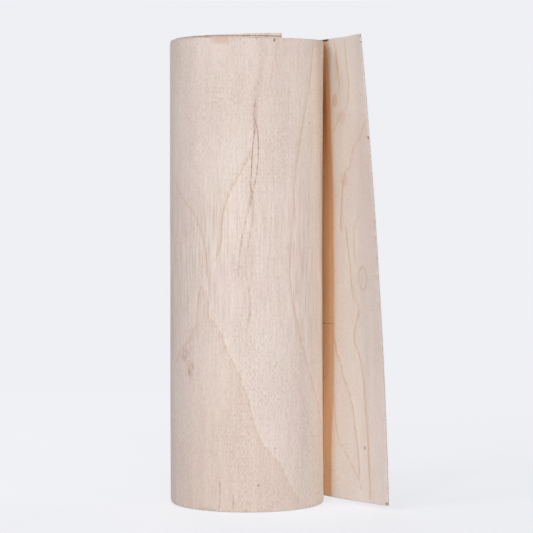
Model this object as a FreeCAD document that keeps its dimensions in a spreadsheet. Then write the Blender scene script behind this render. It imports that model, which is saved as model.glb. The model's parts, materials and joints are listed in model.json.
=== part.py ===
import FreeCAD, Part
import os
import Sketcher
from FreeCAD import Placement, Rotation, Vector

# One sheet of thin flexible plywood, rolled up loosely across its face grain and stood on end.
# It winds clockwise, seen from above, from its inner end near the front of the roll: a little more
# than one and a half turns. Then it leaves the roll at the back right and springs open as a tail,
# which comes forward beside the roll to the outer end. The axis of the roll is upright.
# The turns are not quite level: both ends of the sheet have crept up, and the stretch between them
# stands on the floor on its own sawn edge.

doc = FreeCAD.newDocument("rolled_flexible_plywood")

# Driving sizes, in millimetres and degrees
sizes = doc.addObject("Spreadsheet::Sheet", "Sizes")
driving_sizes = [
    ("sheet_length", 2500, "sheet, measured along the roll's turns"),
    ("sheet_height", 1220, "sheet, measured along the grain"),
    ("sheet_thickness", 5, "two face veneers and a cross veneer, pressed as one"),
    ("layer_gap", 1.8, "air between one turn and the next"),
    ("bore_radius", 190.4, "from the roll's axis to the face of the inner end"),
    ("inner_end_bearing", 27.5, "inner end, counted from the front towards the right"),
    ("wound_angle", 627.5, "how far the sheet winds before it leaves the roll"),
    ("inner_end_rise", 13, "how far the inner end has crept up"),
    ("inner_rise_angle", 195, "how much of the winding rises to the inner end"),
    ("outer_end_rise", 10.5, "how far the outer end has crept up"),
    ("outer_rise_angle", 270, "how much of the winding rises towards the tail"),
    ("tail_foot_flare", 33, "how far the foot of the outer end springs outwards"),
    ("tail_head_tuck", 56, "how far the head of the outer end stays in"),
    ("edge_planing", 1, "taken off the foot where the sheet stands on the floor"),
]
for row, (name, value, meaning) in enumerate(driving_sizes, start=1):
    sizes.set("A%d" % row, meaning)
    sizes.set("B%d" % row, str(value))
    sizes.setAlias("B%d" % row, name)
doc.recompute()

wound_lofts = 4
spans_per_loft = 8
wound_spans = wound_lofts * spans_per_loft
tail_spans = 6
rise_power = 1.5


def plane(body, role):
    return [feature for feature in body.Origin.OriginFeatures if feature.Role == role][0]


def bind(sketch, kind, first, second, formula):
    # A dimension between two points of the sketch, kept at what the formula gives
    index = sketch.addConstraint(Sketcher.Constraint(kind, *first, *second, 0.0))
    sketch.setExpression("Constraints[%d]" % index, formula)


# The sheet's own plan: an even spiral, and then a straight tail that leaves it at a tangent.
# Every formula takes how far the sheet has wound so far and how much of the tail is behind it.

start_radius = "(Sizes.bore_radius + Sizes.sheet_thickness / 2)"
layer_pitch = "(Sizes.sheet_thickness + Sizes.layer_gap)"
wound_length = "(Sizes.wound_angle * pi / 180 * (%s + %s * Sizes.wound_angle / 720))" % (
    start_radius, layer_pitch)
tail_length = "(Sizes.sheet_length - %s)" % wound_length


def plan_of(wound, unrolled):
    # Centre of the sheet's thickness in plan, and the bearing of its outward face
    bearing = "(Sizes.inner_end_bearing - %s)" % wound
    radius = "(%s + %s * %s / 360)" % (start_radius, layer_pitch, wound)
    along_tail = "(%s * %s)" % (tail_length, unrolled)
    right = "%s * sin(%s) - %s * cos(%s)" % (radius, bearing, along_tail, bearing)
    forward = "%s * cos(%s) + %s * sin(%s)" % (radius, bearing, along_tail, bearing)
    return right, forward, bearing


def creep_of(wound, unrolled):
    # How far the sheet's edges have risen here, and what is planed off the foot
    inner = "max(0; 1 - %s / Sizes.inner_rise_angle)" % wound
    tail_angle = "(%s / %s * 180 / pi)" % (tail_length, start_radius)
    outer_angle = "(%s - Sizes.wound_angle + Sizes.outer_rise_angle + %s * %s)" % (
        wound, tail_angle, unrolled)
    outer = "max(0; %s / (Sizes.outer_rise_angle + %s))" % (outer_angle, tail_angle)
    rise = "(Sizes.inner_end_rise * %s ^ %s + Sizes.outer_end_rise * %s ^ %s)" % (
        inner, rise_power, outer, rise_power)
    planing = "Sizes.edge_planing * (1 - %s) * (1 - %s)" % (inner, outer)
    return rise, planing


def bow_of(unrolled):
    # How far out of its plan the tail stands at its foot and at its head. Half way up it is in plan.
    foot = "(Sizes.tail_foot_flare * %s ^ 2)" % unrolled
    head = "(-Sizes.tail_head_tuck * %s ^ 2)" % unrolled
    return foot, head


def section(body, number, wound, unrolled):
    # The sheet cut across upright, square to its plan: straight in the roll and bowed in the tail
    right, forward, bearing = plan_of(wound, unrolled)
    rise, planing = creep_of(wound, unrolled)
    foot_bow, head_bow = bow_of(unrolled)
    in_tail = number > wound_spans
    half = "Sizes.sheet_thickness / 2"

    sketch = body.newObject("Sketcher::SketchObject", "Section_%02d" % number)
    sketch.AttachmentSupport = [(plane(body, "XZ_Plane"), "")]
    sketch.MapMode = "FlatFace"
    sketch.AttachmentOffset = Placement(Vector(0, 0, 0), Rotation(Vector(0, 1, 0), 0))
    sketch.setExpression("AttachmentOffset.Base.x", right)
    sketch.setExpression("AttachmentOffset.Base.z", forward)
    sketch.setExpression("AttachmentOffset.Rotation.Angle", "%s - 90" % bearing)

    # Drawn near its size first: foot edge, outer face, head edge, inner face
    near, far, top = -sizes.sheet_thickness / 2, sizes.sheet_thickness / 2, sizes.sheet_height
    foot_in, foot_out = Vector(near, 0, 0), Vector(far, 0, 0)
    head_in, head_out = Vector(near, top, 0), Vector(far, top, 0)

    def face(low, high):
        if not in_tail:
            return Part.LineSegment(low, high)
        poles = [low, (low + high) / 2, high]
        return Part.BSplineCurve(poles, [3, 3], [0, 1], False, 2, [1, 1, 1], False)

    foot_edge, outer_face, head_edge, inner_face = sketch.addGeometry([
        Part.LineSegment(foot_in, foot_out),
        face(foot_out, head_out),
        Part.LineSegment(head_out, head_in),
        face(foot_in, head_in),
    ], False)
    start, end, centre = 1, 2, 3
    sketch.addConstraint([
        Sketcher.Constraint("Coincident", foot_edge, end, outer_face, start),
        Sketcher.Constraint("Coincident", outer_face, end, head_edge, start),
        Sketcher.Constraint("Coincident", head_edge, end, inner_face, end),
        Sketcher.Constraint("Coincident", inner_face, start, foot_edge, start),
        Sketcher.Constraint("Horizontal", foot_edge),
        Sketcher.Constraint("Horizontal", head_edge),
    ])
    origin = (-1, 1)
    bind(sketch, "DistanceX", (foot_edge, start), (foot_edge, end), "Sizes.sheet_thickness")
    bind(sketch, "DistanceX", (head_edge, end), (head_edge, start), "Sizes.sheet_thickness")
    bind(sketch, "DistanceX", origin, (foot_edge, start), "%s - %s" % (foot_bow, half))
    bind(sketch, "DistanceX", origin, (head_edge, end), "%s - %s" % (head_bow, half))
    bind(sketch, "DistanceY", origin, (foot_edge, start), "%s - %s" % (rise, planing))
    bind(sketch, "DistanceY", origin, (head_edge, end), "%s + Sizes.sheet_height" % rise)

    if in_tail:
        # The middle pole of each face is where the face's halfway point comes out in plan
        for edge, side in ((outer_face, "+"), (inner_face, "-")):
            first_pole = sketch.GeometryCount
            sketch.exposeInternalGeometry(edge)
            middle = (first_pole + 1, centre)
            pole = "-(%s + %s) / 2 %s %s" % (foot_bow, head_bow, side, half)
            bind(sketch, "DistanceX", origin, middle, pole)
            bind(sketch, "DistanceY", origin, middle, "%s + Sizes.sheet_height / 2" % rise)
    return sketch


def plywood_sheet():
    body = doc.addObject("PartDesign::Body", "PlywoodSheet")
    body.Label = "plywood_sheet"
    doc.recompute()

    sections = []
    for number in range(wound_spans + 1):
        wound = "(Sizes.wound_angle * %d / %d)" % (number, wound_spans)
        sections.append(section(body, number, wound, "0"))
    for number in range(1, tail_spans + 1):
        unrolled = "(%d / %d)" % (number, tail_spans)
        sections.append(section(body, wound_spans + number, "Sizes.wound_angle", unrolled))

    # Each loft carries the sheet on through under half a turn, and the last one is the tail
    firsts = [number * spans_per_loft for number in range(wound_lofts + 1)]
    for turn, first in enumerate(firsts):
        spans = spans_per_loft if turn < wound_lofts else tail_spans
        loft = body.newObject("PartDesign::AdditiveLoft", "Winding_%d" % (turn + 1))
        loft.Profile = sections[first]
        loft.Sections = sections[first + 1:first + spans + 1]
        loft.Ruled = False
        doc.recompute()

    # The edge that the sheet stands on is planed level with the floor
    floor_cut = body.newObject("Sketcher::SketchObject", "FloorCut")
    floor_cut.AttachmentSupport = [(plane(body, "XY_Plane"), "")]
    floor_cut.MapMode = "FlatFace"
    round_cut = floor_cut.addGeometry(Part.Circle(Vector(0, 0, 0), Vector(0, 0, 1), 1000), False)
    floor_cut.addConstraint(Sketcher.Constraint("Coincident", round_cut, 3, -1, 1))
    radius = floor_cut.addConstraint(Sketcher.Constraint("Radius", round_cut, 1000))
    floor_cut.setExpression("Constraints[%d]" % radius, "Sizes.sheet_length / 2")
    planed = body.newObject("PartDesign::Pocket", "PlanedFoot")
    planed.Profile = floor_cut
    planed.Length = 10
    planed.setExpression("Length", "10 * Sizes.edge_planing")
    doc.recompute()

    # The part's origin is on the floor, in the middle of the space that the roll and tail take up
    box = body.Shape.optimalBoundingBox(False, False)
    body.Placement = Placement(Vector(-box.Center.x, -box.Center.y, 0), Rotation())
    return body


pieces = [plywood_sheet()]
doc.recompute()

for item in doc.Objects:
    if "Invalid" in item.State or "Error" in item.State:
        raise RuntimeError("%s did not build: %s" % (item.Name, item.State))
os.makedirs("parts", exist_ok=True)
for piece in pieces:
    if piece.Shape.isNull() or not piece.Shape.isValid() or len(piece.Shape.Solids) != 1:
        raise RuntimeError("%s is not one sound solid" % piece.Label)
    piece.Shape.exportStep("parts/%s.step" % piece.Label)
    box = piece.Shape.optimalBoundingBox(False, False)
    print("%s: %.1f x %.1f x %.1f mm, %.0f cubic mm, moved by %.2f, %.2f" % (
        piece.Label, box.XLength, box.YLength, box.ZLength, piece.Shape.Volume,
        piece.Placement.Base.x, piece.Placement.Base.y))
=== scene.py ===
import json
import math
import random

import bpy
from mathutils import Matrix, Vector


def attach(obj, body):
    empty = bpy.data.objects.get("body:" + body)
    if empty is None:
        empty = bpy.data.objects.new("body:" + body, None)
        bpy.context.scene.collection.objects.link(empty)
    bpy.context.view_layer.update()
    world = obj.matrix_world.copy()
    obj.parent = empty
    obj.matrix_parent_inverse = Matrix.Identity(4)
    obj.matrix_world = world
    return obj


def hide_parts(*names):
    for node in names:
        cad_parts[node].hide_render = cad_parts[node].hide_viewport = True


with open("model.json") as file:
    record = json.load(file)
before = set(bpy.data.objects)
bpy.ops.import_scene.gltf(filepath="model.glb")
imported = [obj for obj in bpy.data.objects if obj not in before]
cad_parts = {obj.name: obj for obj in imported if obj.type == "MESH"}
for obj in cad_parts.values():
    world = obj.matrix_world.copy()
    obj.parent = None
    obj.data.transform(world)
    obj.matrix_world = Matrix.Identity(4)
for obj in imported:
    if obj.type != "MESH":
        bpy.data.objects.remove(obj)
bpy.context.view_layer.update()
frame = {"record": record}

print("packed sheet loaded")

# The sheet as it is bought: its long side winds round the roll, and its face grain stands upright
board = {
    "length": 2.5,
    "height": 1.22,
    "faceVeneer": 0.0021,
    "crossVeneer": 0.0008,
    "columns": 800,
    "rowsNearEdge": (0.0012, 0.0022, 0.0040, 0.009, 0.02),
    "rowStep": 0.045,
    "columnsAtEnds": 2.5,
    "cutsAtEnds": 6,
    "sawnCorner": 0.00035,
    "sharpAngle": 60,
    "smoothAngle": 40,
    "edgeReach": 0.001,
    "dubbed": 0.0010,
    "dubbedReach": 0.0048,
    "ragged": 0.0009,
    "raggedGrain": 0.011,
    "wavy": 0.0011,
    "wavyGrain": 0.24,
}
thickness = 2 * board["faceVeneer"] + board["crossVeneer"]

# Where the saw tore splinters out of the faces: along the head and foot, and along the two ends
splinters = {
    "count": 96,
    "halfWidth": (0.0032, 0.0070),
    "tall": (0.004, 0.022),
    "depth": 0.0009,
    "leastShare": 0.4,
    "onEnds": 14,
    "offCorners": 0.02,
    "endHalfTall": (0.007, 0.026),
    "endDepth": 0.0020,
    "seed": 11,
}

# How it is wound: clockwise from above, from the inner end at the front. Angles are in degrees
roll = {
    "boreRadius": 0.1904,
    "layerGap": 0.0018,
    "innerEndBearing": 27.5,
    "woundAngle": 627.5,
    "innerEndRise": 0.013,
    "innerRiseAngle": 195,
    "outerEndRise": 0.0105,
    "outerRiseAngle": 270,
    "risePower": 1.5,
    "footFlare": 0.033,
    "headTuck": 0.056,
    "slackSide": 0.004,
    "fullSide": 0.0019,
    "fullAtHead": 0.16,
    "slackMiddle": 270,
    "slackReach": 65,
    "pinched": 0.0026,
    "pinchedReach": 0.012,
    "pinchedPower": 12,
    "pathStep": 0.005,
}
footMount = frame["record"]["mounts"][0]["pos_m"]
axisPlace = Vector((footMount[0], 0, 0))
middleRadius = roll["boreRadius"] + thickness / 2
spread = (thickness + roll["layerGap"]) / (2 * math.pi)


def turnAt(along):
    # how far the sheet has wound at this length, in radians
    return (math.sqrt(middleRadius ** 2 + 2 * spread * along) - middleRadius) / spread


def alongAt(turned):
    # and the length at which it has wound this far
    return middleRadius * turned + spread * turned ** 2 / 2


woundLength = alongAt(math.radians(roll["woundAngle"]))
tailLength = board["length"] - woundLength


def tailAt(along):
    # share of the loose tail that is behind this length
    return max(0.0, along - woundLength) / tailLength


def pathPlace(along):
    # where the middle of the sheet's thickness runs, seen from above
    turned = turnAt(min(along, woundLength))
    bearing = math.radians(roll["innerEndBearing"]) - turned
    radius = middleRadius + spread * turned
    outward = Vector((math.sin(bearing), -math.cos(bearing), 0))
    onward = Vector((-math.cos(bearing), -math.sin(bearing), 0))
    return axisPlace + outward * radius + onward * (tailAt(along) * tailLength)


def deselectAll():
    bpy.ops.object.select_all(action="DESELECT")


def layFlat():
    # the inner face first, upright and as long as the sheet
    deselectAll()
    bpy.ops.mesh.primitive_grid_add(
        x_subdivisions=board["columns"], y_subdivisions=1, size=1,
        location=(board["length"] / 2, -thickness / 2, board["height"] / 2),
        rotation=(math.pi / 2, 0, 0))
    piece = bpy.context.object
    piece.name = "rolledPlySheet"
    piece.data.name = "rolledPlySheet"
    piece.scale = (board["length"], board["height"], 1)
    bpy.ops.object.transform_apply(location=True, rotation=True, scale=True)

    # rows across the grain, closer by the head and foot
    bpy.ops.object.mode_set(mode="EDIT")
    closeRows = list(board["rowsNearEdge"])
    between = board["height"] - 2 * closeRows[-1]
    count = round(between / board["rowStep"])
    rows = closeRows + [closeRows[-1] + between * row / count for row in range(1, count)]
    rows += [board["height"] - row for row in closeRows]
    for row in rows:
        bpy.ops.mesh.select_all(action="SELECT")
        bpy.ops.mesh.bisect(plane_co=(0, 0, row), plane_no=(0, 0, 1))

    # three veneers, glued as one board
    bpy.ops.mesh.select_all(action="SELECT")
    for ply in (board["faceVeneer"], board["crossVeneer"], board["faceVeneer"]):
        bpy.ops.mesh.extrude_region_move(TRANSFORM_OT_translate={"value": (0, ply, 0)})
    bpy.ops.mesh.select_all(action="SELECT")
    bpy.ops.mesh.normals_make_consistent(inside=False)

    # the saw leaves each corner a little soft
    bpy.ops.mesh.select_all(action="DESELECT")
    bpy.ops.mesh.select_mode(type="EDGE")
    bpy.ops.mesh.edges_select_sharp(sharpness=math.radians(board["sharpAngle"]))
    bpy.ops.mesh.bevel(offset=board["sawnCorner"], segments=1)

    # closer rows by the two ends too, whose cut edges show
    bpy.ops.mesh.select_all(action="DESELECT")
    bpy.ops.object.mode_set(mode="OBJECT")
    byEnd = board["columnsAtEnds"] * board["length"] / board["columns"]
    for edge in piece.data.edges:
        low, high = (piece.data.vertices[index].co for index in edge.vertices)
        toEnd = min(low.x, board["length"] - low.x)
        edge.select = toEnd < byEnd and abs(high.z - low.z) > board["rowStep"] / 2
    bpy.ops.object.mode_set(mode="EDIT")
    bpy.ops.mesh.subdivide(number_cuts=board["cutsAtEnds"])
    bpy.ops.object.mode_set(mode="OBJECT")
    return piece


# Shapes of the sheet: each gives its share, from 0 to 1, at a place on the flat sheet

def innerRise(place):
    return max(0.0, 1 - math.degrees(turnAt(place.x)) / roll["innerRiseAngle"]) ** roll["risePower"]


def outerRise(place):
    tailAngle = math.degrees(tailLength / middleRadius)
    turned = math.degrees(turnAt(min(place.x, woundLength))) - roll["woundAngle"]
    share = (turned + roll["outerRiseAngle"] + tailAngle * tailAt(place.x)) / (
        roll["outerRiseAngle"] + tailAngle)
    return max(0.0, share) ** roll["risePower"]


def footFlare(place):
    up = place.z / board["height"]
    waist = (roll["headTuck"] - roll["footFlare"]) / roll["footFlare"]
    return ((1 - up) ** 2 + waist * up * (1 - up)) * tailAt(place.x) ** 2


def headTuck(place):
    return (place.z / board["height"]) ** 2 * tailAt(place.x) ** 2


def rightSide(place):
    turned = math.degrees(turnAt(min(place.x, woundLength)))
    off = (turned - roll["innerEndBearing"] - roll["slackMiddle"]) / roll["slackReach"]
    return max(0.0, 1 - off ** 2) ** 2


def fullSide(place):
    # at the right of the roll the outer turn stands out, most at its foot
    return rightSide(place) * (1 - (1 - roll["fullAtHead"]) * place.z / board["height"])


def slackSide(place):
    # and half way up it sits in
    up = place.z / board["height"]
    return rightSide(place) * 4 * up * (1 - up)


def toEdge(place):
    return min(place.z, board["height"] - place.z)


def pinched(place):
    # head and foot draw in where the roll turns its sides to the front
    bearing = math.radians(roll["innerEndBearing"]) - turnAt(min(place.x, woundLength))
    byTail = math.sin(bearing) > 0 and place.z > board["height"] / 2
    side = 0 if byTail or place.x > woundLength else math.sin(bearing) ** roll["pinchedPower"]
    return side * max(0.0, 1 - toEdge(place) / roll["pinchedReach"]) ** 2


def dubbedFrom(place, side):
    share = max(0.0, 1 - toEdge(place) / board["dubbedReach"]) ** 2
    return share if place.y * side > board["crossVeneer"] else 0


def dubbedOuter(place):
    return dubbedFrom(place, 1)


def dubbedInner(place):
    return dubbedFrom(place, -1)


def footRagged(place):
    return 1.0 if place.z < board["edgeReach"] else 0.0


def headRagged(place):
    return 1.0 if place.z > board["height"] - board["edgeReach"] else 0.0


def innerEndRagged(place):
    return 1.0 if place.x < board["edgeReach"] else 0.0


def outerEndRagged(place):
    return 1.0 if place.x > board["length"] - board["edgeReach"] else 0.0


def everywhere(place):
    return 1.0


def layOutSplinters():
    # by head and foot or by inner and outer end, and by the face that each is torn from
    chance = random.Random(splinters["seed"])
    share = (splinters["leastShare"], 1)
    upEnds = (splinters["offCorners"], board["height"] - splinters["offCorners"])
    onEdges = {(atHead, side): [] for atHead in (0, 1) for side in (-1, 1)}
    for number in range(splinters["count"]):
        spot = (chance.uniform(0, board["length"]), chance.uniform(*splinters["halfWidth"]),
                chance.uniform(*splinters["tall"]), chance.uniform(*share))
        onEdges[chance.choice((0, 1)), chance.choice((-1, 1))].append(spot)
    onEnds = {(atOuter, side): [] for atOuter in (0, 1) for side in (-1, 1)}
    for number in range(splinters["onEnds"]):
        spot = (chance.uniform(*upEnds), chance.uniform(*splinters["endHalfTall"]),
                chance.uniform(*share))
        onEnds[chance.choice((0, 1)), chance.choice((-1, 1))].append(spot)
    return onEdges, onEnds


edgeSplinters, endSplinters = layOutSplinters()


def tornFrom(place, side):
    # share of a splinter's depth that is missing from the face on this side
    if place.y * side < board["crossVeneer"] or toEdge(place) > splinters["tall"][1]:
        return 0.0
    missing = 0.0
    for middle, halfWidth, tall, share in edgeSplinters[place.z > board["height"] / 2, side]:
        across = 1 - abs(place.x - middle) / halfWidth
        if across > 0:
            missing = max(missing, share * across * max(0.0, 1 - toEdge(place) / tall))
    return missing


def tornOuter(place):
    return tornFrom(place, 1)


def tornInner(place):
    return tornFrom(place, -1)


def tornEnd(place, atOuter):
    # the same for the sheet's two ends, where splinters run up the cut
    toEnd = board["length"] - place.x if atOuter else place.x
    if toEnd > board["edgeReach"]:
        return 0.0
    side = 1 if place.y > 0 else -1
    missing = 0.0
    for middle, halfTall, share in endSplinters[atOuter, side]:
        missing = max(missing, share * (1 - abs(place.z - middle) / halfTall))
    return missing


def tornInnerEnd(place):
    return tornEnd(place, 0)


def tornOuterEnd(place):
    return tornEnd(place, 1)


def shapesOfSheet():
    # each share's way, how far it moves, the grain of its unevenness and the level that stays
    return (
        (everywhere, "Y", board["wavy"], board["wavyGrain"], 0.5),
        (footRagged, "Z", board["ragged"], board["raggedGrain"], 0),
        (headRagged, "Z", -board["ragged"], board["raggedGrain"], 0),
        (innerEndRagged, "X", board["ragged"], board["raggedGrain"], 0),
        (outerEndRagged, "X", -board["ragged"], board["raggedGrain"], 0),
        (tornOuter, "Y", -splinters["depth"], None, 0),
        (tornInner, "Y", splinters["depth"], None, 0),
        (tornInnerEnd, "X", splinters["endDepth"], None, 0),
        (tornOuterEnd, "X", -splinters["endDepth"], None, 0),
        (dubbedOuter, "Y", -board["dubbed"], None, 0),
        (dubbedInner, "Y", board["dubbed"], None, 0),
        (innerRise, "Z", roll["innerEndRise"], None, 0),
        (outerRise, "Z", roll["outerEndRise"], None, 0),
        (footFlare, "Y", roll["footFlare"], None, 0),
        (headTuck, "Y", -roll["headTuck"], None, 0),
        (fullSide, "Y", roll["fullSide"], None, 0),
        (slackSide, "Y", -roll["slackSide"], None, 0),
        (pinched, "Y", -roll["pinched"], None, 0),
    )


def keepFlatPlaces(piece):
    # what the veneer is drawn from, besides the flat places that the UV map keeps
    def rimOver(place):
        # height of the next turn's rim over this one; contact shade is painted just above it
        turnOver = Vector((alongAt(turnAt(place.x) + 2 * math.pi), 0, 0))
        return board["height"] + roll["outerEndRise"] * outerRise(turnOver) - (
            roll["innerEndRise"] * innerRise(place))

    def torn(place):
        return max(share(place) for share in (tornOuter, tornInner, tornInnerEnd, tornOuterEnd))

    for name, valueOf in (("depth", lambda place: place.y + thickness / 2),
                          ("rimHeight", rimOver), ("torn", torn)):
        layer = piece.data.attributes.new(name, "FLOAT", "POINT")
        layer.data.foreach_set("value", [valueOf(vertex.co) for vertex in piece.data.vertices])


def shapeSheet(piece):
    # weights first, from the flat sheet, and then the moves
    moves = shapesOfSheet()
    for shareAt, *rest in moves:
        group = piece.vertex_groups.new(name=shareAt.__name__)
        for vertex in piece.data.vertices:
            share = shareAt(vertex.co)
            if share > 0:
                group.add([vertex.index], share, "REPLACE")
    for shareAt, direction, distance, grain, middle in moves:
        push = piece.modifiers.new(shareAt.__name__, "DISPLACE")
        push.direction = direction
        push.vertex_group = shareAt.__name__
        push.mid_level = middle
        push.strength = distance
        if grain:
            push.texture = bpy.data.textures.new(shareAt.__name__, "CLOUDS")
            push.texture.noise_scale = grain
        bpy.ops.object.modifier_apply(modifier=push.name)


def rollUp(piece):
    # the flat sheet's long side is laid along the winding
    path = bpy.data.curves.new("windingPath", "CURVE")
    path.dimensions = "3D"
    path.twist_mode = "Z_UP"
    steps = round(board["length"] / roll["pathStep"])
    spline = path.splines.new("POLY")
    spline.points.add(steps)
    for step, point in enumerate(spline.points):
        point.co = (*pathPlace(board["length"] * step / steps), 1)
    pathObject = bpy.data.objects.new("windingPath", path)
    bpy.context.scene.collection.objects.link(pathObject)

    bend = piece.modifiers.new("rollUp", "CURVE")
    bend.object = pathObject
    bend.deform_axis = "POS_X"
    bpy.ops.object.modifier_apply(modifier=bend.name)
    bpy.data.objects.remove(pathObject)
    bpy.ops.object.shade_smooth_by_angle(angle=math.radians(board["smoothAngle"]))


plySheet = layFlat()
print("flat sheet laid out")
keepFlatPlaces(plySheet)
shapeSheet(plySheet)
print("sheet shaped")
rollUp(plySheet)
print("sheet rolled up")

# The veneer's colours and painted light and shade, linear red, green and blue. Each tint multiplies the
# pale wood
wood = {
    "pale": (0.79, 0.70, 0.64),
    "pinkTint": (1.0, 0.965, 0.985),
    "bandTint": (0.94, 0.925, 0.91),
    "ringTint": (0.87, 0.76, 0.66),
    "lateTint": (0.965, 0.94, 0.915),
    "earlyTint": (1.025, 1.02, 1.01),
    "warmTint": (0.965, 0.93, 0.905),
    "streakTint": (0.58, 0.40, 0.36),
    "knotTint": (0.42, 0.26, 0.20),
    "fibreTint": (0.74, 0.67, 0.62),
    "patchTint": (0.86, 0.68, 0.53),
    "roughTint": (0.66, 0.52, 0.46),
    # near black: real dark specks on the tail's edge, and a painted shadow at the head of the gap
    "speckAndGapShadowTint": (0.10, 0.08, 0.08),
    # painted shade: darker up the middle of the head
    "headShadeTint": (0.93, 0.925, 0.915),
    # painted highlight at the roll's right limb, by the gap behind the tail
    "limbHighlightTint": (1.19, 1.22, 1.17),
    # painted light: the tail's root paler, by the gap
    "tailLightTint": (1.18, 1.25, 1.27),
    # painted shade, slightly cool, towards the tail's outer end
    "coolShadeTint": (0.935, 0.95, 0.96),
    # painted warm shade: light bounced inside the gap between roll and tail
    "bounceShadeTint": (1.04, 0.67, 0.37),
    "shadeTint": (0.82, 0.80, 0.80),
    # painted deep shade beside the roll's limb, inside the gap
    "deepShadeTint": (0.74, 0.54, 0.42),
    # painted light at the foot of the gap
    "footLightTint": (1.27, 1.32, 1.32),
    # dark: a real veneer joint in the gap, and painted contact shade just above the next turn's rim
    "jointAndRimShadeTint": (0.45, 0.36, 0.31),
    "sawnTint": (0.92, 0.94, 0.94),
    "glueTint": (0.55, 0.42, 0.34),
    "dirtTint": (0.30, 0.28, 0.28),
    "tornTint": (0.90, 0.82, 0.74),
    "fleckDepth": 0.95,
    "poreDepth": 0.50,
    "combDepth": 0.66,
    "streakDepth": 0.16,
    "bandDepth": 0.6,
    "innerFaceDepth": 0.6,
    "combedFlecks": 0.55,
    "specular": 0.35,
    "roughness": 0.66,
    "roughnessSpread": 0.12,
    "bump": 0.0002,
    "fineBump": 0.6,
    "ringBump": 0.8,
}

# The grain's noises: cycles per metre along the sheet, from face to face and up it, then detail,
# roughness, distortion and rise. A noise rises from 0 to 1 between the first two values of its
# rise, or else from the third value to the fourth
grains = {
    "strong": ((8, 3, 4), 2, 0.5, 0, (0.35, 0.65, 0.55, 1.0)),
    "shortFleck": ((560, 7, 105), 3, 0.65, 0, (0.42, 0.66)),
    "longFleck": ((480, 9, 30), 3, 0.6, 0, (0.46, 0.68, 0.0, 0.7)),
    "pore": ((620, 11, 105), 2, 0.5, 0, (0.60, 0.70)),
    "comb": ((250, 13, 10), 3, 0.6, 0, (0.42, 0.64)),
    "streak": ((120, 5, 7), 3, 0.62, 0, (0.32, 0.68)),
    "band": ((26, 3, 1.5), 2, 0.5, 0, (0.32, 0.68)),
    "mottle": ((14, 3, 6), 3, 0.55, 0.4, (0.3, 0.7)),
    "fine": ((1900, 13, 60), 3, 0.6, 0, None),
    "combPatch": ((9, 3, 2.5), 2, 0.5, 0, (0.40, 0.60, 0.45, 1.0)),
    "ringBreak": ((200, 3, 26), 3, 0.6, 0, (0.34, 0.58, 0.5, 1.0)),
    "mineralGrit": ((460, 5, 60), 2, 0.6, 0, (0.38, 0.58, 0.15, 1.0)),
    "roughSpot": ((330, 3, 55), 2, 0.6, 0, (0.46, 0.60)),
    "edgeGrime": ((240, 600, 170), 3, 0.65, 0, (0.56, 0.66)),
    "lineWaver": ((40, 3, 34), 3, 0.6, 0, None),
    "fibreTear": ((330, 3, 5), 2, 0.5, 0, None),
    "markRag": ((300, 3, 300), 2, 0.6, 0, None),
    "growth": ((2.1, 1.7, 0.75), 2, 0.45, 0, None),
    "growthWobble": ((34, 3, 26), 3, 0.55, 0, None),
}

# How a ring line is drawn, in metres: how it strays, and its early and late wood to either side
ringDrawing = {
    "waver": 0.005,
    "mineralWaver": 0.0018,
    "fibreTear": 0.05,
    "fadeOutside": 0.008,
    "fadeInside": 0.010,
    "early": ((0.001, 0.004), (0.006, 0.026)),
    "late": ((-0.016, -0.001), (-0.001, 0.002)),
    "elsewhere": 0.7,
    "lateElsewhere": 0.8,
}

# The figure of the faces that don't show from the front: rings of a slowly waving field
growthField = {
    "waves": 3.4,
    "slope": 2.6,
    "wobble": 0.06,
    "rings": 2.4,
    "line": 0.02,
    "early": ((0.5, 0.54), (0.58, 0.85)),
    "late": ((0.32, 0.5), (0.5, 0.52)),
}


def woodLine(figure, width, strength, earlySide, *places):
    # through (up, along) places on the flat sheet, in metres, and as wide to either side. Its
    # early wood is further along at 1, less far along at -1 and left out at 0
    return {"on": figure, "width": width, "strength": strength, "earlySide": earlySide, "places": places}


def woodMark(face, place, half, strength, tintName):
    # with the (along, up) of its middle, and half its width and height
    return {"face": face, "place": place, "half": half, "strength": strength, "as": tintName}


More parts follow.
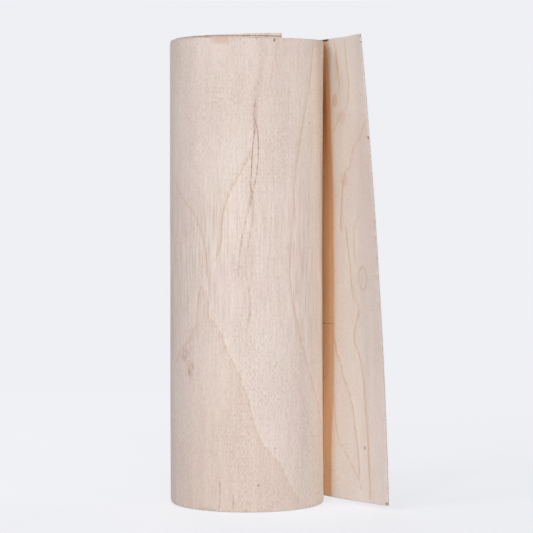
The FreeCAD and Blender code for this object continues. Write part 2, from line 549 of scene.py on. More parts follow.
# Ring lines of the face that shows at the front, and of the inner face of the loose tail
frontFigure = {"face": "outer", "start": 1.0, "reach": 0.65}
tailFigure = {"face": "inner", "start": 2.2, "reach": 0.3}
ringLines = {
    "veeLeft": woodLine(
        frontFigure, 0.003, 1.0, 1, (0.586, 1.431), (0.648, 1.437), (0.702, 1.447), (0.753, 1.468),
        (0.798, 1.514), (0.873, 1.587)),
    "veeRight": woodLine(
        frontFigure, 0.003, 1.0, -1, (0.64, 1.432), (0.647, 1.417), (0.672, 1.401), (0.707, 1.395),
        (0.758, 1.392), (0.829, 1.371), (0.867, 1.348), (0.931, 1.317)),
    "archLeft": woodLine(
        frontFigure, 0.003, 1.0, 1, (0.359, 1.572), (0.413, 1.531), (0.445, 1.495), (0.481, 1.472),
        (0.541, 1.465), (0.58, 1.454)),
    "archRight": woodLine(
        frontFigure, 0.0028, 0.85, -1, (0.017, 1.178), (0.063, 1.211), (0.127, 1.248), (0.189, 1.297),
        (0.251, 1.318), (0.316, 1.333), (0.412, 1.378), (0.475, 1.404), (0.509, 1.433), (0.545, 1.433),
        (0.58, 1.454)),
    "rightLine": woodLine(
        frontFigure, 0.003, 0.7, -1, (0.131, 1.045), (0.222, 1.069), (0.319, 1.123), (0.387, 1.155),
        (0.48, 1.187), (0.6, 1.213), (0.732, 1.205), (0.877, 1.194), (0.996, 1.17), (1.119, 1.139),
        (1.211, 1.125)),
    "secondLine": woodLine(
        frontFigure, 0.003, 0.4, 0, (0.392, 1.204), (0.443, 1.227), (0.527, 1.247), (0.675, 1.248)),
    "thirdLine": woodLine(
        frontFigure, 0.004, 0.4, 0, (0.131, 1.105), (0.188, 1.128), (0.25, 1.155), (0.337, 1.192)),
    "headLine": woodLine(
        frontFigure, 0.003, 0.6, 0, (1.059, 1.279), (1.123, 1.266), (1.212, 1.248)),
    "tailLong": woodLine(
        tailFigure, 0.0056, 0.9, -1, (0.009, 2.435), (0.127, 2.431), (0.244, 2.423), (0.355, 2.41),
        (0.393, 2.398), (0.425, 2.38), (0.452, 2.381), (0.508, 2.403), (0.543, 2.378), (0.635, 2.364),
        (0.727, 2.347)),
    "tailLow": woodLine(
        tailFigure, 0.0054, 0.9, 1, (0.057, 2.393), (0.094, 2.393), (0.191, 2.379), (0.247, 2.369),
        (0.304, 2.342), (0.353, 2.319), (0.407, 2.292), (0.434, 2.287)),
    "tailLower": woodLine(
        tailFigure, 0.0054, 0.9, 0, (0.032, 2.404), (0.069, 2.381), (0.123, 2.339), (0.173, 2.299),
        (0.273, 2.281)),
    "tailUp": woodLine(
        tailFigure, 0.0064, 0.9, -1, (0.713, 2.321), (0.826, 2.335), (0.866, 2.353), (0.891, 2.382),
        (0.93, 2.403), (0.948, 2.429), (1.002, 2.49)),
    "tailHead": woodLine(
        tailFigure, 0.006, 0.9, 1, (0.974, 2.289), (1.018, 2.336), (1.043, 2.378), (1.066, 2.383),
        (1.09, 2.386), (1.121, 2.383), (1.153, 2.377), (1.185, 2.372), (1.215, 2.365)),
    "tailHeadNear": woodLine(
        tailFigure, 0.006, 0.9, 0, (1.069, 2.312), (1.085, 2.322), (1.111, 2.326), (1.137, 2.318),
        (1.163, 2.31), (1.189, 2.303), (1.216, 2.297)),
    "tailSide": woodLine(
        tailFigure, 0.0054, 0.9, 0, (0.63, 2.394), (0.664, 2.391), (0.709, 2.393), (0.754, 2.438)),
}

# Where the roll's edge ends the painted warm shade on the tail, seen from the front
shadowRim = {
    "on": tailFigure,
    "places": (
        (0.02, 2.27), (0.1, 2.272), (0.3, 2.28), (0.66, 2.283), (0.86, 2.2805), (1.08, 2.2675),
        (1.2, 2.2525)),
}

# The mineral streak and the splits at the foot, drawn the same way but straighter
mineralLines = {
    "streak": woodLine(
        frontFigure, 0.015, 0.22, 0, (1.0, 1.307), (1.033, 1.309), (1.069, 1.306), (1.107, 1.301),
        (1.133, 1.293), (1.217, 1.287)),
    "streakHeart": woodLine(
        frontFigure, 0.0085, 0.75, 0, (0.99, 1.308), (1.04, 1.309), (1.062, 1.307)),
    "streakLeft": woodLine(
        frontFigure, 0.003, 1.2, 0, (0.814, 1.318), (0.844, 1.319), (0.893, 1.317), (0.931, 1.315),
        (0.976, 1.31), (1.008, 1.308)),
    "streakRight": woodLine(
        frontFigure, 0.0026, 1.0, 0, (0.814, 1.317), (0.829, 1.314), (0.844, 1.309), (0.893, 1.302),
        (0.941, 1.3), (0.982, 1.302), (1.008, 1.306)),
    "streakFoot": woodLine(
        frontFigure, 0.0075, 0.8, 0, (0.785, 1.322), (0.8, 1.319), (0.83, 1.316)),
    "streakTail": woodLine(
        frontFigure, 0.0036, 0.6, 0, (0.611, 1.353), (0.656, 1.348), (0.696, 1.343), (0.737, 1.336),
        (0.801, 1.321)),
    "streakTailRight": woodLine(
        frontFigure, 0.0036, 0.45, 0, (0.47, 1.333), (0.537, 1.32), (0.605, 1.33), (0.669, 1.33),
        (0.72, 1.32), (0.797, 1.311)),
    "footSplit": woodLine(
        frontFigure, 0.002, 1.0, 0, (0.0, 1.403), (0.055, 1.399), (0.081, 1.401)),
    "footSplitRight": woodLine(
        frontFigure, 0.002, 0.9, 0, (0.0, 1.365), (0.048, 1.364)),
}

# Pins, knots, stains and rough spots, and a painted shadow spot at the head of the gap
woodMarks = {
    "pinKnot": woodMark("outer", (1.3, 0.07), (0.003, 0.0032), 0.9, "knotTint"),
    "smallPin": woodMark("outer", (1.256, 0.165), (0.0022, 0.0026), 0.6, "knotTint"),
    "rightPin": woodMark("outer", (1.142, 1.004), (0.002, 0.0024), 0.7, "knotTint"),
    "headKnot": woodMark("outer", (1.258, 1.2135), (0.0036, 0.0052), 0.9, "knotTint"),
    "rimPin": woodMark("outer", (1.305, 1.218), (0.005, 0.0018), 0.6, "knotTint"),
    "headPatch": woodMark("outer", (1.397, 1.214), (0.03, 0.014), 0.6, "patchTint"),
    "leftKnot": woodMark("outer", (1.491, 0.366), (0.015, 0.033), 0.9, "roughTint"),
    "leftKnotSide": woodMark("outer", (1.513, 0.398), (0.02, 0.024), 0.8, "roughTint"),
    "lowLeftPin": woodMark("outer", (1.535, 0.037), (0.0022, 0.0026), 0.4, "knotTint"),
    "streakDot": woodMark("outer", (1.3, 1.105), (0.002, 0.0022), 0.6, "knotTint"),
    "footPatch": woodMark("outer", (1.435, 0.004), (0.03, 0.008), 0.14, "knotTint"),
    "tailKnot": woodMark("inner", (2.417, 0.145), (0.005, 0.0055), 0.6, "knotTint"),
    "tailPin": woodMark("inner", (2.438, 0.34), (0.0024, 0.0026), 0.6, "knotTint"),
    "tailHeadPin": woodMark("inner", (2.466, 1.065), (0.003, 0.0045), 0.3, "knotTint"),
    "tailNearPatch": woodMark("inner", (2.297, 1.055), (0.02, 0.02), 0.6, "patchTint"),
    "tailHeadPatch": woodMark("inner", (2.312, 1.15), (0.012, 0.05), 0.4, "patchTint"),
    "tailMidPatch": woodMark("inner", (2.336, 1.01), (0.03, 0.02), 0.3, "patchTint"),
    "tailLowPatch": woodMark("inner", (2.344, 0.845), (0.024, 0.024), 0.4, "patchTint"),
    # painted shadow: a near-black spot where the gap between roll and tail is deepest at the head
    "gapShadowSpot": woodMark("inner", (2.245, 1.218), (0.024, 0.006), 1.0, "speckAndGapShadowTint"),
    "tailEdgePin": woodMark("inner", (2.498, 0.954), (0.006, 0.004), 0.85, "speckAndGapShadowTint"),
    "tailCornerPin": woodMark("inner", (2.498, 1.212), (0.005, 0.003), 0.7, "speckAndGapShadowTint"),
    "tailCornerLow": woodMark("inner", (2.498, 1.198), (0.005, 0.003), 0.6, "speckAndGapShadowTint"),
    "tailFootPin": woodMark("inner", (2.497, 0.006), (0.006, 0.004), 0.6, "speckAndGapShadowTint"),
}
markRim = {"fades": (0.45, 1.15), "ragged": 1.2}
eyeMark = {"place": (2.428, 0.59), "half": (0.019, 0.029), "width": 0.26, "strength": 0.7}

# Under the arch of ring lines the wood is darker and warmer, most of all at the foot
archShade = {
    "edge": 0.012,
    "top": 0.58,
    "byHeight": (0.05, 0.58, 1.4, 0.4),
    "byLength": (1.42, 1.56, 1.0, 0.0),
}

# Stretches of the sheet: masks by name and soft edges. Each edge is what it follows, then from
# where to where it rises, and, if not from 0 to 1, from what to what
stretches = {
    "frontShown": ("outer", ("along", 1.0, 1.03), ("along", 1.63, 1.66, 1.0, 0.0)),
    "tailShown": ("inner", ("along", 2.24, 2.27)),
    "combedShown": ("frontShown", "combPatch", ("up", 0.36, 0.54), ("up", 0.72, 0.94, 1.0, 0.2)),
    "inGap": ("inner", ("along", 2.10, 2.17)),
    # how much of the painted light on the tail's root stays towards its head
    "headStays": (("up", 0.85, 1.15, 0.05, 0.5),),
    # painted warm shade in the gap, by how far past the roll's shadow edge
    "bounceShadeReach": (("up", 1.0, 1.18, 0.024, 0.012),),
    "bounceShadeCore": (("pastRim", -0.003, 0.002, 0.5, 0.0),),
    "bounceShadeSoft": (("pastRim", -0.002, "bounceShadeReach", 0.5, 0.0),),
}

# Painted light and shade laid over the figure: painted shade darker up the middle of the head, a painted
# highlight and painted light, paler by the gap behind the tail, painted shade cooler towards the outer end,
# and painted warm shade, shadow, deep shade and light inside the gap
tones = {
    # painted shade
    "headShadeTint": (
        "frontShown", ("along", 1.17, 1.26), ("along", 1.38, 1.46, 1.0, 0.0), ("up", 0.70, 1.12)),
    # painted highlight
    "limbHighlightTint": ("outer", ("along", 0.9, 0.95), ("along", 1.055, 1.18, 1.0, 0.0)),
    # painted light on the tail's root
    "tailLightTint": ("inGap", ("along", 2.31, 2.45, 1.0, "headStays")),
    # painted cool shade
    "coolShadeTint": (
        "inner", ("along", 2.33, 2.44), ("up", 0.75, 1.08, 1.0, 0.0), ("up", 0.0, 0.5, 0.4, 1.0)),
    # painted warm shade inside the gap
    "bounceShadeTint": ("inGap", "ambered", ("up", 0.1, 1.1, 0.82, 1.0)),
    "shadeTint": (
        "inGap", ("pastRim", -0.017, -0.006), ("pastRim", -0.001, 0.010, 1.0, 0.0),
        ("up", 0.85, 1.05, 1.0, 0.0), ("up", 0.08, 0.34)),
    # painted deep shade
    "deepShadeTint": (
        "inGap", ("pastRim", -0.031, -0.008, 1.0, 0.0), ("up", 0.78, 1.08),
        ("up", 1.04, 1.18, 1.0, 0.6)),
    # painted light
    "footLightTint": ("inGap", ("pastRim", -0.034, -0.002, 1.0, 0.1), ("up", 0.12, 0.62, 1.0, 0.0)),
}

# A joint between two strips of veneer, inside the gap, and painted contact shade on one turn just above the
# next turn's rim
veneerJoint = {"up": 0.464, "halfWidth": 0.0018, "fades": (2.27, 2.30, 0.8, 0.0)}
rimContactShade = {"over": 0.0042, "width": (0.0006, 0.0024), "strength": 0.95, "until": 0.9}

# How far in from the edges the sawn colours reach, in metres, and how strong they are
sawnEdges = {
    "reach": (0.0001, 0.0006),
    "glueLine": 0.00018,
    "grimeReach": (0.0005, 0.0045),
    "grimeBeside": 0.30,
    "grimeOnEdge": 0.8,
    "tornShown": (0.05, 0.5),
}


def feed(tree, value, socket):
    if isinstance(value, bpy.types.NodeSocket):
        tree.links.new(value, socket)
    else:
        socket.default_value = value


def calc(tree, operation, *values):
    node = tree.nodes.new("ShaderNodeMath")
    node.operation = operation
    for value, socket in zip(values, node.inputs):
        feed(tree, value, socket)
    return node.outputs[0]


def times(tree, *values):
    product = values[0]
    for value in values[1:]:
        product = calc(tree, "MULTIPLY", product, value)
    return product


def ease(tree, value, low, high, atLow=0.0, atHigh=1.0):
    node = tree.nodes.new("ShaderNodeMapRange")
    node.interpolation_type = "SMOOTHSTEP"
    for name, number in (("Value", value), ("From Min", low), ("From Max", high),
                         ("To Min", atLow), ("To Max", atHigh)):
        feed(tree, number, node.inputs[name])
    return node.outputs["Result"]


def hump(tree, value, rise, fall):
    # up to 1 over the first two values and back to 0 over the last two
    return times(tree, ease(tree, value, *rise), ease(tree, value, *fall, 1.0, 0.0))


def near(tree, value, middle, *rise):
    # eased by how far the value is from the middle one
    away = calc(tree, "ABSOLUTE", calc(tree, "SUBTRACT", value, middle))
    return ease(tree, away, *rise)


def place3(tree, x, y, z):
    node = tree.nodes.new("ShaderNodeCombineXYZ")
    for value, socket in zip((x, y, z), node.inputs):
        feed(tree, value, socket)
    return node.outputs[0]


def noise(tree, place, name):
    # one of the grains at this place
    scales, detail, roughness, distortion, rise = grains[name]
    stretched = tree.nodes.new("ShaderNodeVectorMath")
    stretched.operation = "MULTIPLY"
    feed(tree, place, stretched.inputs[0])
    feed(tree, scales, stretched.inputs[1])
    node = tree.nodes.new("ShaderNodeTexNoise")
    feed(tree, stretched.outputs[0], node.inputs["Vector"])
    for label, value in (("Scale", 1), ("Detail", detail), ("Roughness", roughness),
                         ("Distortion", distortion)):
        feed(tree, value, node.inputs[label])
    return ease(tree, node.outputs["Fac"], *rise) if rise else node.outputs["Fac"]


def tint(tree, base, colour, amount):
    node = tree.nodes.new("ShaderNodeMix")
    node.data_type = "RGBA"
    node.blend_type = "MULTIPLY"
    node.clamp_factor = True
    feed(tree, amount, node.inputs[0])
    feed(tree, base, node.inputs[6])
    feed(tree, (*colour, 1), node.inputs[7])
    return node.outputs[2]


def attribute(tree, name):
    node = tree.nodes.new("ShaderNodeAttribute")
    node.attribute_name = name
    return node.outputs["Fac"]


def newGroup(name, inputs, outputs):
    group = bpy.data.node_groups.new(name, "ShaderNodeTree")
    for label in inputs:
        kind = "NodeSocketVector" if label == "Place" else "NodeSocketFloat"
        group.interface.new_socket(name=label, in_out="INPUT", socket_type=kind)
    for label in outputs:
        group.interface.new_socket(name=label, in_out="OUTPUT", socket_type="NodeSocketFloat")
    return group, group.nodes.new("NodeGroupInput").outputs, group.nodes.new("NodeGroupOutput").inputs


def use(tree, group, **inputs):
    node = tree.nodes.new("ShaderNodeGroup")
    node.node_tree = group
    for label, value in inputs.items():
        feed(tree, value, node.inputs[label])
    return node.outputs


def ringLineGroup():
    # the thin late wood where Offset is nil, early wood beyond it and late wood before it
    group, given, made = newGroup(
        "ringLine", ("Offset", "Up", "Width", "Low", "High"), ("Line", "Early", "Late"))
    outside, inside = ringDrawing["fadeOutside"], ringDrawing["fadeInside"]
    fadeLow = ease(group, given["Up"], calc(group, "SUBTRACT", given["Low"], outside),
                   calc(group, "ADD", given["Low"], inside))
    fadeHigh = ease(group, given["Up"], calc(group, "SUBTRACT", given["High"], inside),
                    calc(group, "ADD", given["High"], outside), 1.0, 0.0)
    ends = times(group, fadeLow, fadeHigh)
    line = ease(group, calc(group, "ABSOLUTE", given["Offset"]), 0.0, given["Width"], 1.0, 0.0)
    early = hump(group, given["Offset"], *ringDrawing["early"])
    late = hump(group, given["Offset"], *ringDrawing["late"])
    for name, amount in (("Line", line), ("Early", early), ("Late", late)):
        feed(group, times(group, amount, ends), made[name])
    return group


def markGroup():
    # an oval patch with a ragged rim, where Reach is 1
    group, given, made = newGroup(
        "woodMark", ("Along", "Up", "HalfWidth", "HalfHeight", "Ragged"), ("Mark", "Reach"))
    across = calc(group, "DIVIDE", given["Along"], given["HalfWidth"])
    high = calc(group, "DIVIDE", given["Up"], given["HalfHeight"])
    square = calc(group, "ADD", times(group, across, across), times(group, high, high))
    reach = calc(group, "ADD", calc(group, "SQRT", square), given["Ragged"])
    feed(group, ease(group, reach, *markRim["fades"], 1.0, 0.0), made["Mark"])
    feed(group, reach, made["Reach"])
    return group


def fibreGroup():
    # fine upright flecks, longer streaks and soft bands, all drawn out along the grain
    group, given, made = newGroup(
        "fibre", ("Place",), ("Fleck", "Pore", "Comb", "Streak", "Band", "Mottle", "Fine"))
    place = given["Place"]
    strong = noise(group, place, "strong")
    short = times(group, noise(group, place, "shortFleck"), strong)
    feed(group, calc(group, "MAXIMUM", short, noise(group, place, "longFleck")), made["Fleck"])
    feed(group, times(group, noise(group, place, "pore"), strong), made["Pore"])
    for name in ("Comb", "Streak", "Band", "Mottle", "Fine"):
        feed(group, noise(group, place, name.lower()), made[name])
    return group


def growthGroup():
    # the figure of a peeled log: contour lines of a slowly waving field
    group, given, made = newGroup("growthRings", ("Place",), ("Line", "Early", "Late"))
    place = given["Place"]
    parts = group.nodes.new("ShaderNodeSeparateXYZ")
    feed(group, place, parts.inputs[0])
    field = calc(group, "MULTIPLY_ADD", noise(group, place, "growth"), growthField["waves"],
                 times(group, parts.outputs["X"], growthField["slope"]))
    wobble = times(group, noise(group, place, "growthWobble"), growthField["wobble"])
    turn = calc(group, "FRACT", times(group, calc(group, "ADD", field, wobble), growthField["rings"]))
    feed(group, near(group, turn, 0.5, 0.0, growthField["line"], 1.0, 0.0), made["Line"])
    feed(group, hump(group, turn, *growthField["early"]), made["Early"])
    feed(group, hump(group, turn, *growthField["late"]), made["Late"])
    return group


def lineCurve(tree, line, up):
    # where the line runs at each height, read from its few places
    node = tree.nodes.new("ShaderNodeFloatCurve")
    node.mapping.extend = "HORIZONTAL"
    points = node.mapping.curves[0].points
    figure = line["on"]
    places = [(high / board["height"], (along - figure["start"]) / figure["reach"])
              for high, along in line["places"]]
    points[0].location = places[0]
    points[-1].location = places[-1]
    for spot in places[1:-1]:
        points.new(*spot)
    node.mapping.update()
    feed(tree, calc(tree, "DIVIDE", up, board["height"]), node.inputs["Value"])
    return calc(tree, "MULTIPLY_ADD", node.outputs[0], figure["reach"], figure["start"])


def traceLine(tree, group, line, at, along):
    # the masks of one line, and where it runs on the flat sheet
    runsAt = lineCurve(tree, line, at["upTorn"])
    offset = times(tree, calc(tree, "SUBTRACT", along, runsAt), line["earlySide"] or 1)
    masks = use(tree, group, Offset=offset, Up=at["upTorn"], Width=line["width"],
                Low=line["places"][0][0], High=line["places"][-1][0])
    return masks, runsAt


def setMark(tree, group, mark, at, along, ragged):
    # the mask of one mark, and how far each place is from its middle
    return use(tree, group, Along=calc(tree, "SUBTRACT", along, mark["place"][0]),
               Up=calc(tree, "SUBTRACT", at["up"], mark["place"][1]),
               HalfWidth=mark["half"][0], HalfHeight=mark["half"][1], Ragged=ragged)


def within(tree, at, stretch):
    # the product of a stretch's masks and soft edges
    masks = []
    for part in stretch:
        if isinstance(part, str):
            masks.append(at[part])
        else:
            masks.append(ease(tree, *(at.get(value, value) for value in part)))
    return times(tree, *masks)


def placesOnSheet(tree):
    # what the veneer is drawn by: places on the flat sheet, in metres, and masks
    flat = tree.nodes.new("ShaderNodeUVMap")
    flat.uv_map = "UVMap"
    parts = tree.nodes.new("ShaderNodeSeparateXYZ")
    feed(tree, flat.outputs[0], parts.inputs[0])
    at = {
        "along": times(tree, parts.outputs["X"], board["length"]),
        "up": times(tree, parts.outputs["Y"], board["height"]),
        "depth": attribute(tree, "depth"),
    }
    at["outer"] = calc(tree, "GREATER_THAN", at["depth"], thickness / 2)
    at["inner"] = calc(tree, "SUBTRACT", 1.0, at["outer"])
    at["place"] = place3(tree, at["along"], at["outer"], at["up"])

    waver = calc(tree, "SUBTRACT", noise(tree, at["place"], "lineWaver"), 0.5)
    at["wavy"] = calc(tree, "MULTIPLY_ADD", waver, ringDrawing["waver"], at["along"])
    at["nearlyStraight"] = calc(tree, "MULTIPLY_ADD", waver, ringDrawing["mineralWaver"], at["along"])
    byFibre = calc(tree, "SUBTRACT", noise(tree, at["place"], "fibreTear"), 0.5)
    at["upTorn"] = calc(tree, "MULTIPLY_ADD", byFibre, ringDrawing["fibreTear"], at["up"])

    at["combPatch"] = noise(tree, at["place"], "combPatch")
    at["pastRim"] = calc(tree, "SUBTRACT", at["along"], lineCurve(tree, shadowRim, at["up"]))
    for name, stretch in stretches.items():
        at[name] = within(tree, at, stretch)
    at["ambered"] = calc(tree, "ADD", at["bounceShadeCore"], at["bounceShadeSoft"])
    return at


def drawRings(tree, at, colour, ringLine):
    # a figure of its own on what doesn't show from the front, then the ring lines that show
    elsewhere = calc(tree, "SUBTRACT", 1.0, calc(tree, "ADD", at["frontShown"], at["tailShown"]))
    masks = use(tree, growthGroup(), Place=at["place"])
    lines = times(tree, masks["Line"], elsewhere, ringDrawing["elsewhere"])
    early = times(tree, masks["Early"], elsewhere)
    late = times(tree, masks["Late"], elsewhere, ringDrawing["lateElsewhere"])
    runsAt = {}
    for name, line in ringLines.items():
        face = at[line["on"]["face"]]
        masks, runsAt[name] = traceLine(tree, ringLine, line, at, at["wavy"])
        lines = calc(tree, "MAXIMUM", lines, times(tree, masks["Line"], face, line["strength"]))
        if line["earlySide"]:
            early = calc(tree, "MAXIMUM", early, times(tree, masks["Early"], face))
            late = calc(tree, "MAXIMUM", late, times(tree, masks["Late"], face))
    colour = tint(tree, colour, wood["earlyTint"], early)
    colour = tint(tree, colour, wood["lateTint"], late)
    colour = tint(tree, colour, wood["ringTint"], times(tree, lines, noise(tree, at["place"], "ringBreak")))

    # darker and warmer under the arch
    left = ease(tree, calc(tree, "SUBTRACT", runsAt["archLeft"], at["wavy"]), 0.0, archShade["edge"])
    right = ease(tree, calc(tree, "SUBTRACT", at["wavy"], runsAt["archRight"]), 0.0, archShade["edge"])
    low = times(tree, ease(tree, at["up"], *archShade["byHeight"]),
                calc(tree, "LESS_THAN", at["up"], archShade["top"]),
                ease(tree, at["along"], *archShade["byLength"]))
    colour = tint(tree, colour, wood["warmTint"], times(tree, left, right, at["outer"], low))
    return colour, lines


def drawMinerals(tree, at, colour, ringLine):
    # the mineral streak and the splits at the foot
    mineral = 0.0
    for line in mineralLines.values():
        streak, runsAt = traceLine(tree, ringLine, line, at, at["nearlyStraight"])
        shown = times(tree, streak["Line"], at["outer"], line["strength"])
        mineral = calc(tree, "MAXIMUM", mineral, shown)
    grit = noise(tree, at["place"], "mineralGrit")
    return tint(tree, colour, wood["streakTint"], times(tree, mineral, grit))


def drawMarks(tree, at, colour):
    # patches, knots and pins, rough spots and the eye on the tail; specks and painted gap shadow go back
    oval = markGroup()
    uneven = calc(tree, "SUBTRACT", noise(tree, at["place"], "markRag"), 0.5)
    ragged = times(tree, uneven, markRim["ragged"])
    marked = dict.fromkeys(("patchTint", "knotTint", "roughTint", "speckAndGapShadowTint"), 0.0)
    for mark in woodMarks.values():
        spot = setMark(tree, oval, mark, at, at["along"], ragged)
        shown = times(tree, spot["Mark"], at[mark["face"]], mark["strength"])
        marked[mark["as"]] = calc(tree, "MAXIMUM", marked[mark["as"]], shown)
    colour = tint(tree, colour, wood["patchTint"], marked["patchTint"])
    colour = tint(tree, colour, wood["knotTint"], marked["knotTint"])
    coarse = noise(tree, at["place"], "roughSpot")
    colour = tint(tree, colour, wood["roughTint"], times(tree, marked["roughTint"], coarse))
    eye = setMark(tree, oval, eyeMark, at, at["wavy"], 0.0)
    rim = near(tree, eye["Reach"], 1.0, 0.0, eyeMark["width"], eyeMark["strength"], 0.0)
    colour = tint(tree, colour, wood["ringTint"], times(tree, rim, at["inner"]))
    return colour, marked["speckAndGapShadowTint"]


def drawFibres(tree, at, colour, fibres):
    # quieter on the inner face, and combed rather than flecked half way up the front
    loud = ease(tree, at["outer"], 0.0, 1.0, wood["innerFaceDepth"], 1.0)
    flecked = times(tree, loud, ease(tree, at["combedShown"], 0.0, 1.0, 1.0, wood["combedFlecks"]))
    for name, shown, depth in (("Fleck", flecked, "fleckDepth"), ("Pore", flecked, "poreDepth"),
                               ("Comb", at["combedShown"], "combDepth"), ("Streak", loud, "streakDepth")):
        amount = times(tree, fibres[name], times(tree, shown, wood[depth]))
        colour = tint(tree, colour, wood["fibreTint"], amount)
    return colour


def drawGapMarksAndShade(tree, at, colour, specksAndGapShadow):
    # specks and painted shadow, a joint in the gap, and painted contact shade above the outer turn's rim
    colour = tint(tree, colour, wood["speckAndGapShadowTint"], specksAndGapShadow)
    joint = near(tree, at["up"], veneerJoint["up"], 0.0, veneerJoint["halfWidth"], 1.0, 0.0)
    colour = tint(tree, colour, wood["jointAndRimShadeTint"], times(
        tree, at["inGap"], joint, ease(tree, at["along"], *veneerJoint["fades"])))
    overRim = calc(tree, "SUBTRACT", at["up"], attribute(tree, "rimHeight"))
    rimShade = near(tree, overRim, rimContactShade["over"], *rimContactShade["width"], rimContactShade["strength"], 0.0)
    return tint(tree, colour, wood["jointAndRimShadeTint"], times(
        tree, rimShade, at["outer"], calc(tree, "LESS_THAN", at["along"], rimContactShade["until"])))


def drawSawnEdges(tree, at, colour):
    # the grain's ends, the cross veneer between its two glue lines, grime and torn fibres
    toSides = calc(tree, "MINIMUM", calc(tree, "SUBTRACT", board["length"], at["along"]),
                   calc(tree, "SUBTRACT", board["height"], at["up"]))
    reachIn = calc(tree, "MINIMUM", calc(tree, "MINIMUM", at["along"], at["up"]), toSides)
    sawn = ease(tree, reachIn, *sawnEdges["reach"], 1.0, 0.0)
    offCore = calc(tree, "ABSOLUTE", calc(tree, "SUBTRACT", at["depth"], thickness / 2))
    glueLine = near(tree, offCore, board["crossVeneer"] / 2, 0.0, sawnEdges["glueLine"], 1.0, 0.0)
    edgePlace = place3(tree, at["along"], at["depth"], at["up"])
    beside = ease(tree, reachIn, *sawnEdges["grimeReach"], sawnEdges["grimeBeside"], 0.0)
    grime = calc(tree, "MAXIMUM", times(tree, sawn, sawnEdges["grimeOnEdge"]), beside)
    colour = tint(tree, colour, wood["sawnTint"], sawn)
    colour = tint(tree, colour, wood["glueTint"], times(tree, glueLine, sawn))
    colour = tint(tree, colour, wood["dirtTint"], times(tree, noise(tree, edgePlace, "edgeGrime"), grime))
    torn = ease(tree, attribute(tree, "torn"), *sawnEdges["tornShown"])
    return tint(tree, colour, wood["tornTint"], torn)


def paleVeneer():
    material = bpy.data.materials.new("paleVeneer")
    material.use_nodes = True
    tree = material.node_tree
    ringLine = ringLineGroup()
    at = placesOnSheet(tree)
    fibres = use(tree, fibreGroup(), Place=at["place"])

    colour = tint(tree, (*wood["pale"], 1), wood["pinkTint"], fibres["Mottle"])
    colour = tint(tree, colour, wood["bandTint"], times(tree, fibres["Band"], wood["bandDepth"]))
    colour, lines = drawRings(tree, at, colour, ringLine)
    colour = drawMinerals(tree, at, colour, ringLine)
    colour, specksAndGapShadow = drawMarks(tree, at, colour)
    colour = drawFibres(tree, at, colour, fibres)
    for name, tone in tones.items():
        colour = tint(tree, colour, wood[name], within(tree, at, tone))
    colour = drawGapMarksAndShade(tree, at, colour, specksAndGapShadow)
    colour = drawSawnEdges(tree, at, colour)

    surface = tree.nodes["Principled BSDF"]
    feed(tree, colour, surface.inputs["Base Color"])
    surface.inputs["Specular IOR Level"].default_value = wood["specular"]
    rough = calc(tree, "MULTIPLY_ADD", fibres["Streak"], wood["roughnessSpread"], wood["roughness"])
    feed(tree, rough, surface.inputs["Roughness"])

    height = calc(tree, "SUBTRACT", times(tree, fibres["Fine"], wood["fineBump"]), fibres["Fleck"])
    height = calc(tree, "SUBTRACT", height, times(tree, lines, wood["ringBump"]))
    bump = tree.nodes.new("ShaderNodeBump")
    bump.inputs["Distance"].default_value = wood["bump"]
    feed(tree, height, bump.inputs["Height"])
    feed(tree, bump.outputs[0], surface.inputs["Normal"])
    return material


plySheet.data.materials.append(paleVeneer())
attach(plySheet, "root")
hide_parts("plywood_sheet")
print("veneer drawn")

# The studio: angles are in degrees, round from the front to the right and above the floor
studio = {
    "background": (0.863, 0.871, 0.905),
    "worldLight": 0.33,
    "floorColour": (0.86, 0.87, 0.9),
    "floorSize": 24,
    "floorFade": (1.0, 3.4),
    "floorGlow": 0.55,
    "floorLight": (0.67, 0.57),
    "floorDepth": (-0.45, 0.45),
    "lampDistance": 6.0,
    "target": (-0.03, 0, 0.62),
}
lamps = {
    "keyLamp": {"bearing": -19, "height": 6, "size": 0.6, "level": 0.218},
    "frontLamp": {"bearing": 6, "height": 6, "size": 2.5, "level": 0.28},
    "rightLamp": {"bearing": 46, "height": 6, "size": 1.6, "level": 0.15},
    "leftLamp": {"bearing": -55, "height": 45, "size": 2.0, "level": 0.16},
    "backLamp": {"bearing": 190, "height": 10, "size": 3.0, "level": 0.24},
}

# A long lens, far off and a little above the middle of the roll
lens = {
    "place": (-0.0319, -6.143, 0.9127),
    "tiltDown": 2.68,
    "focalLength": 156.8,
    "sensor": 36,
}


def blend(tree, share, shader, seen, output):
    mix = tree.nodes.new("ShaderNodeMixShader")
    feed(tree, share, mix.inputs["Fac"])
    feed(tree, shader.outputs[0], mix.inputs[1])
    feed(tree, seen.outputs[0], mix.inputs[2])
    feed(tree, mix.outputs[0], output.inputs["Surface"])


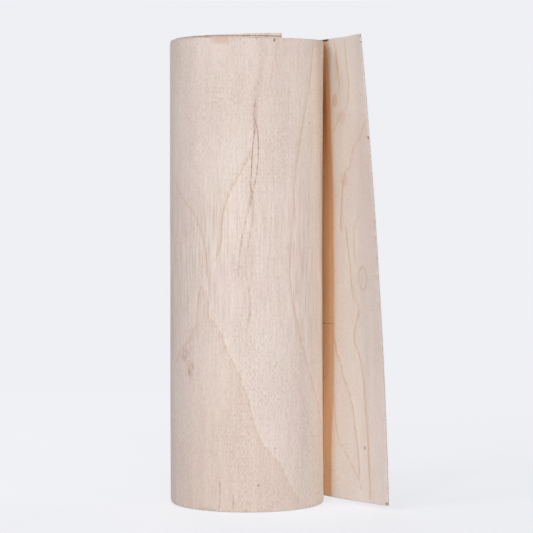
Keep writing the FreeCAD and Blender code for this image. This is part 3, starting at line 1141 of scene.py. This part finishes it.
def lightStage():
    # the camera sees a plain background, and the sheet is lit by a dimmer one
    world = bpy.data.worlds.new("paleStudio")
    bpy.context.scene.world = world
    world.use_nodes = True
    tree = world.node_tree
    light = tree.nodes["Background"]
    light.inputs["Color"].default_value = (1, 1, 1, 1)
    light.inputs["Strength"].default_value = studio["worldLight"]
    backdrop = tree.nodes.new("ShaderNodeBackground")
    backdrop.inputs["Color"].default_value = (*studio["background"], 1)
    rays = tree.nodes.new("ShaderNodeLightPath").outputs
    seen = calc(tree, "MAXIMUM", rays["Is Camera Ray"], rays["Is Glossy Ray"])
    blend(tree, seen, light, backdrop, tree.nodes["World Output"])

    for name, lamp in lamps.items():
        data = bpy.data.lights.new(name, "AREA")
        data.shape = "DISK"
        data.size = lamp["size"]
        # the level is the light that comes to the target
        data.energy = lamp["level"] * math.pi ** 2 * studio["lampDistance"] ** 2
        bearing, height = math.radians(lamp["bearing"]), math.radians(lamp["height"])
        aim = Vector((math.sin(bearing) * math.cos(height),
                      -math.cos(bearing) * math.cos(height), math.sin(height)))
        lampObject = bpy.data.objects.new(name, data)
        bpy.context.scene.collection.objects.link(lampObject)
        lampObject.location = Vector(studio["target"]) + aim * studio["lampDistance"]
        lampObject.rotation_euler = aim.to_track_quat("Z", "Y").to_euler()


def layFloor():
    deselectAll()
    bpy.ops.mesh.primitive_plane_add(size=studio["floorSize"], location=(0, 0, 0))
    floor = bpy.context.object
    floor.name = "studioFloor"
    paint = bpy.data.materials.new("studioFloor")
    paint.use_nodes = True
    tree = paint.node_tree
    surface = tree.nodes["Principled BSDF"]
    surface.inputs["Base Color"].default_value = (*studio["floorColour"], 1)
    surface.inputs["Roughness"].default_value = 1
    surface.inputs["Specular IOR Level"].default_value = 0

    # seen from the camera the lit floor is as pale as the background, and keeps a soft shadow
    place = tree.nodes.new("ShaderNodeTexCoord").outputs["Object"]
    reach = tree.nodes.new("ShaderNodeVectorMath")
    reach.operation = "LENGTH"
    feed(tree, place, reach.inputs[0])
    parts = tree.nodes.new("ShaderNodeSeparateXYZ")
    feed(tree, place, parts.inputs[0])
    share = ease(tree, reach.outputs["Value"], *studio["floorFade"], studio["floorGlow"], 1.0)
    light = ease(tree, parts.outputs["Y"], *studio["floorDepth"], *studio["floorLight"])
    lit = times(tree, calc(tree, "SUBTRACT", 1.0, share), light)
    glow = tree.nodes.new("ShaderNodeEmission")
    glow.inputs["Color"].default_value = (*studio["background"], 1)
    feed(tree, calc(tree, "DIVIDE", calc(tree, "SUBTRACT", 1.0, lit), share), glow.inputs["Strength"])
    rays = tree.nodes.new("ShaderNodeLightPath").outputs
    shown = times(tree, share, rays["Is Camera Ray"])
    blend(tree, shown, surface, glow, tree.nodes["Material Output"])
    floor.data.materials.append(paint)


def placeCamera():
    data = bpy.data.cameras.new("camera")
    data.lens = lens["focalLength"]
    data.sensor_width = lens["sensor"]
    cameraObject = bpy.data.objects.new("camera", data)
    bpy.context.scene.collection.objects.link(cameraObject)
    cameraObject.location = lens["place"]
    cameraObject.rotation_euler = (math.radians(90 - lens["tiltDown"]), 0, 0)
    bpy.context.scene.camera = cameraObject


lightStage()
layFloor()
placeCamera()
bpy.context.scene.view_settings.view_transform = "Standard"
print("studio ready")
